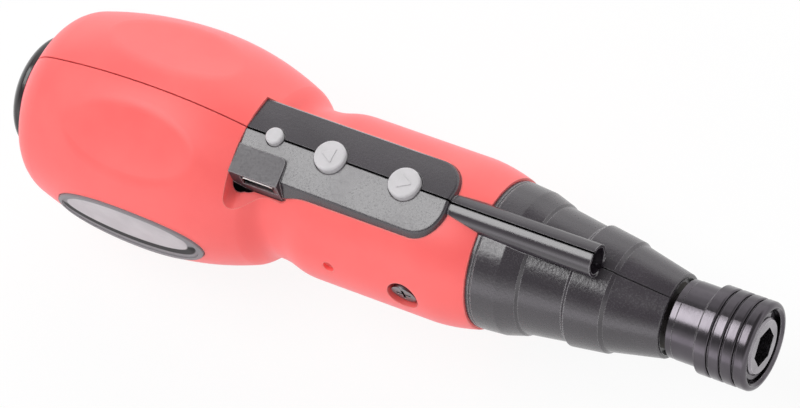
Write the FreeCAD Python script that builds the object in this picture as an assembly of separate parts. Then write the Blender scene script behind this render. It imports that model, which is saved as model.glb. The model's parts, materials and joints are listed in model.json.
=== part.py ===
import FreeCAD, Part
import math
import os

# Electric screwdriver with a ball grip, a two-stage planetary drive and a quick-release bit chuck.
# X runs forward along the tool axis, Z is up through the control panel, Y is to the tool's left.
# The mouth of the bit socket is at the origin. All sizes are in millimetres.

V = FreeCAD.Vector

# Clearances
running_fit = 0.04          # radial play of a turning or sliding fit
press_gap = 0.01            # radial play left between pieces that are pressed together
seat_gap = 0.1              # play round a piece that is seated in a pocket
key_gap = 0.15              # play round a button in its hole
free_gap = 0.3              # space between pieces that pass each other

# Bit socket and spindle
hex_across_flats = 6.4
socket_depth = 13.0
spindle_wall = 1.6          # from the corners of the hexagon to the outside of the spindle head
shaft_radius = 4.0
drive_across_flats = 6.0    # hexagon at the rear end of the spindle
magnet_radius = 2.5
magnet_length = 2.0
mouth_chamfer = 0.4

# Quick-release sleeve
sleeve_travel = 2.6
sleeve_overhang = 0.3       # sleeve mouth ahead of the spindle mouth
sleeve_wall = 1.45
spring_chamber_gap = 1.4    # radial room for the spring round the spindle head
rib_count = 4
rib_pitch = 2.45
rib_round = 0.35
rib_groove_width = 0.3
rib_groove_depth = 0.55
sleeve_shoulder = 0.5       # slope behind the rearmost rib
sleeve_neck_radius = 7.25
sleeve_mouth_bevel = 0.5
lock_ball_radius = 1.25
lock_ball_station = 8.5     # behind the mouth
lock_land_length = 1.75
lock_land_overrun = 0.15    # land reaches this far past the ball's centre
relief_depth = 1.0
relief_length = 1.4
spring_wire = 0.6
spring_turns = 3
ring_groove_depth = 0.35
ring_thickness = 0.7
ring_station = 0.6          # front of the retaining ring behind the mouth
ring_overhang = 0.8         # retaining ring above the spindle head
ring_gap_angle = 50.0
chuck_washer_thickness = 0.6
collar_washer_thickness = 1.1
collar_washer_radius = 7.2
chuck_length = 14.4

# Nose cone, lengths from its front end backwards
nose_gap = 1.1              # between the nose and the collar washer
bush_wall = 2.0
bush_length = 13.0
bush_setback = 0.9          # depth of the recess in the nose's front
tip_wall = 1.0
lip_rise = 0.76
lip_round = 0.35
tip_taper_length = 9.4
tip_taper_radius = 9.8
step_length = 0.7
step_radius = 10.31
middle_taper_length = 6.45
ridge_radius = 11.2
ridge_length = 0.7
waist_radius = 10.66
rear_taper_length = 7.9
rear_taper_radius = 11.8
shoulder_length = 4.0
band_length = 5.6
foot_length = 0.5           # short steep foot of the shoulder
foot_rise = 0.45
band_fall = 0.35
collar_lip = 0.25           # nose band above the core that the grip covers
groove_setback = 0.6
groove_width = 0.5
groove_depth = 0.3
nose_wall = 1.9

# Grip and housing walls
core_wall = 2.0
thin_core_wall = 1.6        # at the throat
ball_core_wall = 1.8
neck_grip_thickness = 2.0
throat_grip_thickness = 1.9
ball_grip_thickness = 2.6
rear_grip_thickness = 2.0
collar_grip_step = 0.45     # red edge above the nose band
seam_width = 0.24           # groove where the two halves meet
seam_depth = 0.4

# Neck, throat and ball, lengths from the collar backwards
collar_ease_length = 8.3
neck_length = 23.5
flare_length = 8.7
throat_length = 5.0
ball_front_length = 21.8
ball_rear_length = 25.2
rear_chamfer_length = 3.8
ball_radius = 21.1
ball_front_drop = 4.2       # ball's end at the throat below its crown
ball_shoulder_drop = 4.2
ball_shoulder_round = 8.0
cap_edge_radius = 10.8
throat_pull = 1.9           # how far the ball's slope carries into the throat
scallop_count = 6
scallop_radius = 70.0
scallop_depth = 1.4
scallop_edge = 5.0

# Rear cap
cap_rim = 0.7
cap_height = 4.9
cap_wall = 1.8
spigot_radius = 8.5
spigot_wall = 1.7
snap_bead = 0.4
snap_bead_length = 0.8

# Oval plate on the right side of the ball
plate_length = 31.0
plate_height = 14.4
plate_thickness = 0.9
plate_proud = 0.2
plate_rim_width = 0.9
plate_rim_rise = 0.15
plate_setback = 0.5
plate_drop = -1.0

# Cell in the ball
cell_radius = 9.15
cell_length = 35.0
cell_setback = 1.5          # centre of the cell behind the middle of the ball
cell_nub_radius = 3.0
cell_nub_height = 1.0
cradle_count = 3
cradle_thickness = 1.6
cradle_inset = 4.0
tab_width = 3.0
tab_thickness = 0.3
cell_lead_radius = 0.6
cell_lead_spread = 1.2

# Planetary gearing
gear_module = 0.4
pressure_angle = math.radians(25.0)
sun_teeth = 9
planet_teeth = 18
planet_count = 3
addendum_share = 0.9
dedendum_share = 1.25
backlash = 0.05
gear_width = 5.8
gear_side_gap = 0.4
carrier_thickness = 2.2
output_carrier_thickness = 2.8
pin_radius = 1.2
case_wall = 1.8
case_setback = 2.5          # front of the gear case behind the nose's taper
case_front_wall = 4.0
mount_plate_thickness = 2.0

# Motor
motor_radius = 10.1
motor_flat_height = 7.7     # from the axis to the flats above and below
motor_can_length = 21.0
motor_end_length = 3.5
motor_end_inset = 0.25
motor_boss_radius = 3.0
motor_boss_length = 1.4
motor_rear_boss_radius = 2.5
motor_rear_boss_length = 1.1
motor_bay_gap = 0.5
motor_shaft_radius = 1.0
motor_screw_radius = 1.0
motor_screw_head = 1.9
motor_screw_spread = 6.5
motor_screw_length = 4.5
terminal_length = 2.3
terminal_width = 2.0
terminal_thickness = 0.5
terminal_height = 5.0
motor_lead_radius = 0.5
motor_lead_spread = 2.7

# Side screws that hold the housing halves to the gear case
side_screw_station = 63.7   # behind the socket mouth
side_screw_height = 3.2
side_screw_radius = 1.1
side_screw_head_radius = 2.4
side_screw_hole_radius = 3.1
side_screw_recess = 0.5     # head below the grip's surface
side_screw_bite = 1.5
side_screw_sink = 0.8       # head seat below the core's surface
cross_width = 0.6
cross_depth = 0.8
cross_reach = 1.5           # arms of the cross from the screw's centre
gate_station = 78.9
gate_height = 4.0
gate_radius = 1.1
gate_depth = 0.7

# Control panel
panel_setback = 5.8         # front of the panel behind the collar
panel_length = 42.0
panel_wall = 1.3
panel_roof = 1.7
panel_draft = 0.28          # inward lean of the panel's walls, to each millimetre of height
panel_fall = 0.9            # drop of the panel's centre line from rear to front
panel_ridge_angle = math.radians(9.0)   # slope of the panel's top on both sides of its ridge
panel_side_radius = 36.0
panel_front_flat = 3.0
panel_edge = 0.5
panel_root_depth = 3.4      # panel walls below the board cavity's top

# Board and switches
board_half_width = 6.15
board_thickness = 1.0
board_rear_setback = 1.6
board_front_setback = 6.0
board_opening_half = 3.6
switch_height = 1.6
switch_size = 4.5
lamp_switch_size = 3.0
plunger_radius = 1.1
lamp_plunger_radius = 0.7
plunger_height = 0.8
chip_length = 4.6
chip_width = 4.0
chip_height = 1.4
small_chip_size = 2.4
small_chip_height = 0.9

# Buttons
direction_button_radius = 2.97
lamp_button_radius = 1.65
button_flange = 0.6
button_flange_thickness = 0.55
button_proud = 0.9
button_travel = 0.6
button_edge = 0.45
lamp_button_setback = 5.9    # from the rear end of the panel
forward_button_setback = 9.5 # from the front end of the panel
reverse_button_place = 0.432 # on the way from the lamp button to the forward button
arrow_size = 1.6
arrow_height = 0.1

# Port in its raised block
port_block_length = 10.0
port_block_inner = 3.1
port_block_outer = 8.4
port_block_rise = 0.35
port_block_fall = 1.3
port_block_corner = 1.2
port_shell_width = 6.9
port_shell_top_width = 5.4
port_shell_height = 2.4
port_shell_depth = 5.0
port_shell_wall = 0.3
port_shell_proud = 0.1
port_shell_lift = 0.6       # shell above the board, on its two skirts
port_tongue_width = 4.6
port_tongue_thickness = 0.7
port_tongue_depth = 3.6
plug_relief_below = 0.6
plug_relief_ahead = 1.2
plug_relief_corner = 2.0

# Lamp tube
tube_radius = 3.0
tube_height = 12.9
tube_front = 29.5           # front end of the tube behind the socket mouth
tube_bore_radius = 2.45
tube_bore_depth = 7.5
lamp_radius = 1.5
lamp_body_length = 3.5
lamp_flange_length = 1.0
lamp_lead_radius = 0.3
lamp_lead_spread = 0.64
lead_overlap = 1.0           # bare end of a lead on the board

# Radii that follow from the sizes above
hex_corner = hex_across_flats / math.sqrt(3)
head_radius = hex_corner + spindle_wall
land_bore = head_radius + running_fit
spring_chamber_radius = head_radius + spring_chamber_gap
sleeve_radius = spring_chamber_radius + sleeve_wall
sleeve_front_round = sleeve_wall - sleeve_mouth_bevel - seat_gap
relief_radius = land_bore + relief_depth
lock_ball_centre = head_radius - lock_ball_radius
lock_ball_travel = hex_corner - (lock_ball_centre - lock_ball_radius) + running_fit
ramp_slope = lock_ball_travel / sleeve_travel
bush_bore = shaft_radius + running_fit
bush_radius = bush_bore + bush_wall
tip_radius = bush_radius + tip_wall

ring_teeth = sun_teeth + 2 * planet_teeth
orbit_radius = gear_module * (sun_teeth + planet_teeth) / 2
addendum = addendum_share * gear_module
dedendum = dedendum_share * gear_module
ring_root = gear_module * ring_teeth / 2 + dedendum
ring_tip = gear_module * ring_teeth / 2 - addendum
case_radius = ring_root + case_wall
carrier_radius = ring_tip - free_gap - seat_gap

bay_radius = case_radius + seat_gap
core_radius = bay_radius + core_wall
neck_radius = core_radius + neck_grip_thickness
band_radius = core_radius + collar_lip
throat_bay_radius = motor_radius + motor_bay_gap
throat_core_radius = throat_bay_radius + thin_core_wall
throat_radius = throat_core_radius + throat_grip_thickness

# Stations along the axis, from the socket mouth backwards
collar_washer_front = -chuck_length
nose_front = collar_washer_front - collar_washer_thickness - nose_gap
tip_taper_x = nose_front - lip_round - tip_taper_length
step_x = tip_taper_x - step_length
ridge_x = step_x - middle_taper_length
waist_x = ridge_x - ridge_length
rear_taper_x = waist_x - rear_taper_length
shoulder_x = rear_taper_x - shoulder_length
collar_x = shoulder_x - band_length
neck_x = collar_x - collar_ease_length
flare_x = neck_x - neck_length
throat_x = flare_x - flare_length
ball_front_x = throat_x - throat_length
ball_x = ball_front_x - ball_front_length
ball_shoulder_x = ball_x - ball_rear_length
ball_front_radius = ball_radius - ball_front_drop
ball_shoulder_radius = ball_radius - ball_shoulder_drop
cap_x = ball_shoulder_x - rear_chamfer_length

bush_front = nose_front - bush_setback
bush_rear = bush_front - bush_length

case_front = rear_taper_x - case_setback
output_carrier_front = case_front - case_front_wall - gear_side_gap
output_carrier_rear = output_carrier_front - output_carrier_thickness
second_gear_front = output_carrier_rear - gear_side_gap
second_gear_rear = second_gear_front - gear_width
first_carrier_front = second_gear_rear - gear_side_gap
first_carrier_rear = first_carrier_front - carrier_thickness
first_gear_front = first_carrier_rear - gear_side_gap
first_gear_rear = first_gear_front - gear_width
case_rear = first_gear_rear - gear_side_gap
motor_front = case_rear - mount_plate_thickness
motor_can_rear = motor_front - motor_can_length
motor_rear = motor_can_rear - motor_end_length

cell_centre = ball_x - cell_setback
cell_rear = cell_centre - cell_length / 2
cell_front = cell_centre + cell_length / 2

panel_front = collar_x - panel_setback
panel_rear = panel_front - panel_length
lamp_button_x = panel_rear + lamp_button_setback
forward_button_x = panel_front - forward_button_setback
reverse_button_x = lamp_button_x + reverse_button_place * (forward_button_x - lamp_button_x)
port_front = panel_rear + port_block_length
board_rear = panel_rear + board_rear_setback
board_front = panel_front - board_front_setback

# Heights of the stack under the control panel
board_bottom = bay_radius + seat_gap
board_top = board_bottom + board_thickness
switch_top = board_top + switch_height
plunger_top = switch_top + plunger_height
flange_top = plunger_top + button_flange_thickness
ceiling = flange_top + running_fit
crown_rear = ceiling + panel_roof + panel_fall / 2
board_cavity_top = switch_top + key_gap
board_cavity_half = board_half_width + seat_gap
button_cavity_half = direction_button_radius + button_flange + free_gap
panel_half_width = board_cavity_half + panel_wall


class Outline:
    """A closed outline of lines, arcs and curves, drawn point by point in one plane."""

    def __init__(self, place, first):
        self.place = place
        self.first = first
        self.last = first
        self.edges = []

    def to(self, *points):
        for point in points:
            self.edges.append(Part.makeLine(self.place(*self.last), self.place(*point)))
            self.last = point
        return self

    def arc(self, via, end):
        corners = [self.place(*point) for point in (self.last, via, end)]
        self.edges.append(Part.Arc(*corners).toShape())
        self.last = end
        return self

    def round(self, corner, end):
        """Quarter arc to the end, inside a square corner."""
        share = 1 - math.sqrt(0.5)
        via = [c + share * (a + b - 2 * c) for a, b, c in zip(self.last, end, corner)]
        return self.arc(via, end)

    def crown(self, apex, end):
        """Arc between the last point and end, on a circle that is level at the apex."""
        far = self.last if apex == end else end
        run = far[0] - apex[0]
        drop = apex[1] - far[1]
        radius = (run ** 2 + drop ** 2) / (2 * drop)
        middle = apex[0] + run / 2
        rise = apex[1] - radius + math.sqrt(radius ** 2 - (run / 2) ** 2)
        return self.arc((middle, rise), end)

    def curve(self, leave, arrive, end):
        curve = Part.BezierCurve()
        curve.setPoles([self.place(*point) for point in (self.last, leave, arrive, end)])
        self.edges.append(curve.toShape())
        self.last = end
        return self

    def ease(self, end):
        """Curve to the end that is level at both ends."""
        middle = (self.last[0] + end[0]) / 2
        return self.curve((middle, self.last[1]), (middle, end[1]), end)

    def face(self):
        self.to(self.first)
        return Part.Face(Part.Wire(self.edges))


def on_axis_plane(x, radius):
    return V(x, 0, radius)


def cross_section(y, z):
    return V(0, y, z)


def turned(outline, angle=360):
    return outline.face().revolve(V(0, 0, 0), V(1, 0, 0), angle)


def turned_outline(*first):
    return Outline(on_axis_plane, first)


def rod(x0, x1, radius, y=0.0, z=0.0):
    return Part.makeCylinder(radius, abs(x1 - x0), V(min(x0, x1), y, z), V(1, 0, 0))


def tube(x0, x1, inner, outer):
    return rod(x0, x1, outer).cut(rod(x0, x1, inner))


def cross_rod(y0, y1, radius, x, z):
    return Part.makeCylinder(radius, abs(y1 - y0), V(x, min(y0, y1), z), V(0, 1, 0))


def drum(z0, z1, radius, x, y=0.0):
    return Part.makeCylinder(radius, z1 - z0, V(x, y, z0), V(0, 0, 1))


def box(x, y, z):
    """Box between two limits on each axis."""
    return Part.makeBox(x[1] - x[0], y[1] - y[0], z[1] - z[0], V(x[0], y[0], z[0]))


def hex_bar(x0, x1, across_flats):
    """Hexagonal bar along the axis, with corners above and below."""
    corner = across_flats / math.sqrt(3)
    angles = [i * math.pi / 3 for i in range(7)]
    points = [V(x0, corner * math.sin(angle), corner * math.cos(angle)) for angle in angles]
    return Part.Face(Part.makePolygon(points)).extrude(V(x1 - x0, 0, 0))


def about_axis(shape, degrees):
    turned_copy = shape.copy()
    turned_copy.rotate(V(0, 0, 0), V(1, 0, 0), degrees)
    return turned_copy


def moved(shape, x=0.0, y=0.0, z=0.0):
    copy = shape.copy()
    copy.translate(V(x, y, z))
    return copy


def mirrored(shape):
    return shape.mirror(V(0, 0, 0), V(0, 1, 0))


def half_space(side):
    """Everything on the right (-1) or the left (+1) of the joint plane."""
    reach = 4 * ball_radius
    ends = (cap_x - cap_height - reach, reach)
    return box(ends, (-reach, 0) if side < 0 else (0, reach), (-reach, reach))


def crown_at(x):
    return crown_rear - panel_fall * (x - panel_rear) / panel_length


def one_solid(shape):
    """The single solid that a cut or a fuse leaves, with its split faces joined again."""
    shape = shape.removeSplitter()
    return shape.Solids[0] if len(shape.Solids) == 1 else shape


# Outer and inner forms of the housing

def grip_form():
    """Right half of the red outline, solid through to the axis."""
    outline = turned_outline(cap_x, 0)
    outline.to((cap_x, cap_edge_radius), (ball_shoulder_x, ball_shoulder_radius))
    outline.crown((ball_x, ball_radius), (ball_x, ball_radius))
    outline.crown((ball_x, ball_radius), (ball_front_x, ball_front_radius))
    outline.curve((ball_front_x + throat_pull, ball_front_radius - throat_pull / 2),
                  (throat_x - throat_length / 2, throat_radius), (throat_x, throat_radius))
    outline.ease((flare_x, neck_radius))
    outline.to((neck_x, neck_radius))
    collar_edge = (collar_x, band_radius + collar_grip_step)
    outline.curve((neck_x + collar_ease_length / 2, neck_radius), collar_edge, collar_edge)
    outline.to((collar_x, 0))
    form = turned(outline, 180)
    return form.makeFillet(ball_shoulder_round, [edge for edge in form.Edges if is_shoulder_edge(edge)])


def is_shoulder_edge(edge):
    """True for the edge between the ball and its rear slope."""
    bounds = edge.BoundBox
    return abs(bounds.XMin - ball_shoulder_x) < seat_gap and bounds.XLength < seat_gap


def core_form():
    """Right half of the black housing under the grip and in the nose, solid through to the axis."""
    rear_x = cap_x + rear_grip_thickness
    rear_radius = cap_edge_radius - rear_grip_thickness / 2
    shoulder = (ball_shoulder_x + rear_grip_thickness / 2, ball_shoulder_radius - ball_grip_thickness)
    apex = (ball_x, ball_radius - ball_grip_thickness)
    ball_end = (ball_front_x, ball_front_radius - ball_grip_thickness)
    outline = turned_outline(rear_x, 0)
    outline.to((rear_x, rear_radius), shoulder)
    outline.crown(apex, apex)
    outline.crown(apex, ball_end)
    outline.ease((throat_x, throat_core_radius))
    outline.ease((flare_x, core_radius))
    outline.to((collar_x, core_radius), (collar_x, band_radius))
    band_end = band_radius - band_fall
    groove_x = collar_x + groove_setback
    outline.to((groove_x, band_radius), (groove_x + groove_width / 2, band_radius - groove_depth),
               (groove_x + groove_width, band_radius), (shoulder_x, band_end))
    outline.to((rear_taper_x - foot_length, rear_taper_radius + foot_rise))
    outline.to((rear_taper_x, rear_taper_radius))
    outline.to((waist_x, waist_radius), (ridge_x, ridge_radius))
    outline.to((step_x, step_radius), (tip_taper_x, tip_taper_radius))
    lip_radius = tip_radius + lip_rise
    lip_corner = (nose_front, lip_radius)
    outline.to((nose_front - lip_round, lip_radius))
    outline.round(lip_corner, (nose_front, lip_radius - lip_round))
    outline.to((nose_front, 0))
    return turned(outline, 180)


def cavity_form():
    """Hollow inside both housing halves, less the cradles that hold the cell."""
    inset = ball_grip_thickness + ball_core_wall
    rear_x = cap_x + rear_grip_thickness + ball_core_wall
    apex = (ball_x, ball_radius - inset)
    outline = turned_outline(rear_x, 0)
    outline.to((rear_x, spigot_radius + snap_bead + free_gap))
    outline.to((ball_shoulder_x + ball_core_wall, ball_shoulder_radius - inset))
    outline.crown(apex, apex)
    outline.crown(apex, (ball_front_x, ball_front_radius - inset))
    outline.ease((throat_x, throat_bay_radius))
    outline.ease((flare_x, bay_radius))
    outline.to((case_front, bay_radius), (case_front, rear_taper_radius - nose_wall))
    outline.to((rear_taper_x, rear_taper_radius - nose_wall), (waist_x, waist_radius - nose_wall))
    outline.to((bush_rear, waist_radius - nose_wall), (bush_rear, bush_radius + press_gap))
    outline.to((bush_front, bush_radius + press_gap), (bush_front, tip_radius))
    outline.to((nose_front, tip_radius), (nose_front, 0))
    cavity = turned(outline)
    pitch = (cell_length - 2 * cradle_inset) / (cradle_count - 1)
    notch_top = board_bottom + seat_gap
    notch_half = cell_lead_spread + cell_lead_radius + free_gap
    for i in range(cradle_count):
        x = cell_rear + cradle_inset + i * pitch
        span = (x - cradle_thickness / 2, x + cradle_thickness / 2)
        cradle = tube(*span, cell_radius + seat_gap, ball_radius)
        cradle = cradle.cut(box(span, (-notch_half, notch_half), (0, notch_top)))
        cavity = cavity.cut(cradle)
    return cavity


# Control panel, port block and lamp tube

def panel_footprint(z):
    """Outline of the panel's walls at one height, square behind and round in front."""
    lean = panel_draft * (z - board_cavity_top)
    half = panel_half_width - lean
    front = panel_front - lean
    corner = half - panel_front_flat / 2
    bow = corner * (1 - math.sqrt(0.5))
    outline = Outline(lambda x, y: V(x, y, z), (panel_rear, -half))
    outline.to((front - corner, -half))
    outline.arc((front - bow, -half + bow), (front, -half + corner))
    outline.to((front, half - corner))
    outline.arc((front - bow, half - bow), (front - corner, half))
    outline.to((panel_rear, half), (panel_rear, -half))
    return Part.Wire(outline.edges)


def panel_form():
    root = board_cavity_top - panel_root_depth
    walls = Part.makeLoft([panel_footprint(root), panel_footprint(crown_rear + panel_roof)], True, True)
    panel = walls.common(panel_roof_form())
    edges = [edge for edge in panel.Edges if is_panel_edge(edge)]
    return panel.makeFillet(panel_edge, edges)


def panel_roof_form():
    """Ridged bar whose top is the panel's top, with a slightly arched slope on each side."""
    lean = panel_side_radius * math.sin(panel_ridge_angle)
    base = crown_rear - panel_side_radius * math.cos(panel_ridge_angle)
    half = 2 * panel_half_width

    def height(y):
        return base + math.sqrt(panel_side_radius ** 2 - (abs(y) + lean) ** 2)

    outline = Outline(lambda y, z: V(panel_rear, y, z), (-half, 0))
    outline.to((-half, height(half)))
    outline.arc((-half / 2, height(half / 2)), (0, crown_rear))
    outline.arc((half / 2, height(half / 2)), (half, height(half)))
    outline.to((half, 0))
    return outline.face().extrude(V(panel_length, 0, -panel_fall))


def is_panel_edge(edge):
    """True for the edges between the panel's top and its sides and front, off the ridge."""
    bounds = edge.BoundBox
    on_ridge = bounds.YLength < seat_gap and abs(bounds.Center.y) < seat_gap
    return bounds.ZMin > board_cavity_top and bounds.XMax > panel_rear + panel_edge and not on_ridge


def port_block_form():
    """Raised block on the right of the panel, over the port."""
    top_inner = crown_at(panel_rear) - port_block_rise
    top_outer = top_inner - port_block_fall
    root = board_cavity_top - panel_root_depth
    outline = Outline(lambda y, z: V(panel_rear, y, z), (-port_block_inner, root))
    outline.to((-port_block_inner, top_inner), (-port_block_outer, top_outer))
    outline.to((-port_block_outer - panel_draft, root))
    block = outline.face().extrude(V(port_block_length, 0, 0))
    corner = [edge for edge in block.Edges if is_block_corner(edge)]
    return block.makeFillet(port_block_corner, corner)


def is_block_corner(edge):
    """True for the upright edge at the inner front corner of the port block."""
    bounds = edge.BoundBox
    return bounds.XMin > port_front - seat_gap and bounds.YMin > -port_block_inner - seat_gap


def tube_form():
    return rod(board_front, -tube_front, tube_radius, z=tube_height)


def panel_hollows():
    """Spaces for the board, the switches and buttons, the port and the lamp."""
    board_space = box((board_rear - seat_gap, board_front + seat_gap),
                      (-board_cavity_half, board_cavity_half), (board_bottom, board_cavity_top))
    first = lamp_button_x - lamp_button_radius - button_flange - free_gap
    last = forward_button_x + button_cavity_half
    button_space = box((first, last), (-button_cavity_half, button_cavity_half), (board_cavity_top, ceiling))
    under = box((board_rear, board_front), (-board_opening_half, board_opening_half), (0, board_bottom))
    hollow = board_space.fuse([button_space, under])
    for x, radius in button_places():
        hollow = hollow.fuse(drum(ceiling - seat_gap, crown_rear + button_proud, radius + key_gap, x))
    lamp_bore = rod(-tube_front, -tube_front - tube_bore_depth, tube_bore_radius, z=tube_height)
    lead_bore = rod(-tube_front, board_front, lamp_lead_spread + 2 * lamp_lead_radius, z=tube_height)
    return hollow.fuse([lamp_bore, lead_bore])


def button_places():
    return [(lamp_button_x, lamp_button_radius), (reverse_button_x, direction_button_radius),
            (forward_button_x, direction_button_radius)]


def port_shell_span():
    return (lamp_button_x - port_shell_width / 2, lamp_button_x + port_shell_width / 2)


def port_shell_heights():
    low = board_top + press_gap + port_shell_lift
    return (low, low + port_shell_height)


def port_opening():
    """Opening in the block's outer side round the socket shell."""
    x = port_shell_span()
    z = port_shell_heights()
    reach = (-port_block_outer - port_shell_depth, -port_block_outer + port_shell_depth)
    return box((x[0] - seat_gap, x[1] + seat_gap), reach, (z[0] - seat_gap, z[1] + seat_gap))


def plug_relief():
    """Scoop in the grip that leaves room for a plug in the port."""
    z0 = board_bottom - plug_relief_below
    x1 = port_front + plug_relief_ahead
    scoop = box((panel_rear, x1), (-ball_radius, -port_block_outer + seat_gap), (z0, ball_radius))
    floor_edges = [edge for edge in scoop.Edges if is_scoop_edge(edge, z0)]
    return scoop.makeFillet(plug_relief_corner, floor_edges)


def is_scoop_edge(edge, floor):
    """True for the two floor edges of the scoop that run outwards."""
    bounds = edge.BoundBox
    return bounds.ZMax < floor + seat_gap and bounds.YLength > plug_relief_corner


def panel_pocket():
    """Space above the panel and the port block, where the ball would cover them."""
    above = V(0, 0, ball_radius)
    over_panel = Part.Face(panel_footprint(ceiling)).extrude(above)
    over_block = box((panel_rear, port_front), (-port_block_outer, 0), (ceiling, ceiling + ball_radius))
    return over_panel.fuse(over_block)


def seam(side, form):
    """Shallow groove on one side of the joint plane, along the outside of a form."""
    reach = 2 * ball_radius
    across = (-seam_width / 2, 0) if side < 0 else (0, seam_width / 2)
    slab = box((cap_x, nose_front), across, (-reach, reach))
    return slab.cut(moved(form, z=-seam_depth).common(moved(form, z=seam_depth)))


# Side screw

def side_seat():
    """Distance of the screw head's seat from the joint plane."""
    return math.sqrt(core_radius ** 2 - side_screw_height ** 2) - side_screw_sink


def side_screw_tip():
    return math.sqrt(case_radius ** 2 - side_screw_height ** 2) - side_screw_bite


def side_screw_hole():
    x = -side_screw_station
    head = cross_rod(-side_seat(), -ball_radius, side_screw_hole_radius, x, side_screw_height)
    return head.fuse(side_screw_thread(side_screw_radius + press_gap))


def side_screw_thread(radius):
    return cross_rod(-side_screw_tip(), -side_seat(), radius, -side_screw_station, side_screw_height)


def side_screw():
    x = -side_screw_station
    z = side_screw_height
    top = math.sqrt(neck_radius ** 2 - z ** 2) - side_screw_recess
    head = cross_rod(-side_seat(), -top, side_screw_head_radius, x, z)
    depth = (-top, cross_depth - top)
    half = cross_width / 2
    upright = box((x - half, x + half), depth, (z - cross_reach, z + cross_reach))
    level = box((x - cross_reach, x + cross_reach), depth, (z - half, z + half))
    return head.cut(upright.fuse(level)).fuse(side_screw_thread(side_screw_radius))


# Housing halves and grips

def core_outside(side):
    """One black half with panel, tube and port block, before it is hollowed."""
    core = core_form() if side < 0 else mirrored(core_form())
    extras = [panel_form().common(half_space(side)), tube_form().common(half_space(side))]
    if side < 0:
        extras.append(port_block_form())
    return core.fuse(extras)


def housing_half(side, outside, cavity):
    half = outside.cut([cavity, panel_hollows(), rear_hole(), seam(side, outside)])
    if side < 0:
        half = half.cut([port_opening(), side_screw_hole()])
    return one_solid(half)


def rear_hole():
    return rod(cap_x, ball_shoulder_x + ball_core_wall, spigot_radius + seat_gap)


def scallop(angle):
    """Shallow dish cut into the ball, centred at an angle from the top."""
    distance = ball_radius - scallop_depth + scallop_radius
    return about_axis(rod(ball_shoulder_x, ball_front_x, scallop_radius, z=distance), angle)


def is_scallop_edge(edge):
    """True for the rounded rims of the scallops, off the joint plane."""
    bounds = edge.BoundBox
    middle = bounds.Center
    inside = ball_shoulder_x < bounds.XMin and bounds.XMax < ball_front_x
    return inside and abs(middle.y) > seat_gap and bounds.XLength > scallop_edge


def scalloped_grip_form():
    form = grip_form()
    step = 360.0 / scallop_count
    form = form.cut([scallop(step * (i + 0.5)) for i in range(scallop_count // 2)])
    return form.makeFillet(scallop_edge, [edge for edge in form.Edges if is_scallop_edge(edge)])


def plate_column(margin):
    """Oval column through the right side of the ball, where the plate sits."""
    centre = V(ball_x - plate_setback, -2 * ball_radius, -plate_drop)
    oval = Part.Ellipse(V(0, 0, 0), plate_length / 2 + margin, plate_height / 2 + margin)
    column = Part.Face(Part.Wire(oval.toShape())).extrude(V(0, 0, 2 * ball_radius))
    column.rotate(V(0, 0, 0), V(1, 0, 0), -90)
    column.translate(centre)
    return column


def label_plate(form):
    """Plate that follows the ball, with a raised rim."""
    field = moved(form, y=-plate_proud).common(plate_column(0))
    rim = moved(form, y=-plate_proud - plate_rim_rise).common(plate_column(0))
    rim = rim.cut(plate_column(-plate_rim_width))
    bed = moved(form, y=plate_thickness - plate_proud)
    return one_solid(field.fuse(rim).cut(bed))


def grip_half(side, form, outside):
    form = form if side < 0 else mirrored(form)
    grip = form.cut([outside, rear_hole(), panel_pocket(), seam(side, form)])
    if side < 0:
        bed = moved(form, y=plate_thickness - plate_proud)
        gate = cross_rod(-neck_radius, -gate_floor(), gate_radius, -gate_station, gate_height)
        grip = grip.cut([plate_column(seat_gap).cut(bed), gate, plug_relief(), side_screw_hole()])
    return one_solid(grip)


def gate_floor():
    return math.sqrt(neck_radius ** 2 - gate_height ** 2) - gate_depth


def rear_cap():
    bead_front = cap_x + rear_grip_thickness + ball_core_wall + seat_gap
    inner = spigot_radius - spigot_wall
    tail = cap_x - cap_height
    outline = turned_outline(tail, 0)
    shoulder = (cap_x - cap_rim, cap_edge_radius + seat_gap)
    outline.curve((tail, cap_edge_radius / 2), (tail + cap_height / 2, cap_edge_radius), shoulder)
    outline.to((cap_x, cap_edge_radius + seat_gap), (cap_x, spigot_radius), (bead_front, spigot_radius))
    outline.to((bead_front, spigot_radius + snap_bead))
    outline.to((bead_front + snap_bead_length, spigot_radius), (bead_front + snap_bead_length, inner))
    outline.to((tail + cap_wall, inner), (tail + cap_wall, 0))
    return turned(outline)


# Chuck and spindle

def spindle():
    head = rod(-chuck_length, 0, head_radius)
    rim = [edge for edge in head.Edges if edge.BoundBox.XMin > -mouth_chamfer and edge.Closed]
    head = head.makeChamfer(mouth_chamfer, rim)
    body = head.fuse([rod(output_carrier_front, -chuck_length, shaft_radius),
                      hex_bar(output_carrier_rear, output_carrier_front, drive_across_flats)])
    groove = tube(*ring_span(seat_gap / 2), head_radius - ring_groove_depth, 2 * head_radius)
    magnet_hole = rod(-socket_depth - magnet_length - seat_gap, -socket_depth, magnet_radius + press_gap)
    ball_hole = drum(-head_radius, head_radius, lock_ball_radius + running_fit, -lock_ball_station)
    return one_solid(body.cut([hex_bar(-socket_depth, 0, hex_across_flats), groove, magnet_hole, ball_hole]))


def ring_span(margin=0.0):
    return (-ring_station - ring_thickness - margin, -ring_station + margin)


def bit_magnet():
    return rod(-socket_depth - magnet_length, -socket_depth, magnet_radius)


def chuck_ring():
    """Open retaining ring in the groove of the spindle head."""
    inner = head_radius - ring_groove_depth + press_gap
    ring = tube(*ring_span(), inner, head_radius + ring_overhang)
    wedge = Outline(lambda y, z: V(ring_span()[0], y, z), (0, 0))
    reach = 2 * head_radius
    half = reach * math.tan(math.radians(ring_gap_angle / 2))
    wedge.to((reach, half), (reach, -half))
    return ring.cut(wedge.face().extrude(V(ring_thickness, 0, 0)))


def chuck_washer_span():
    front = ring_span()[0]
    return (front - chuck_washer_thickness, front)


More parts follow.
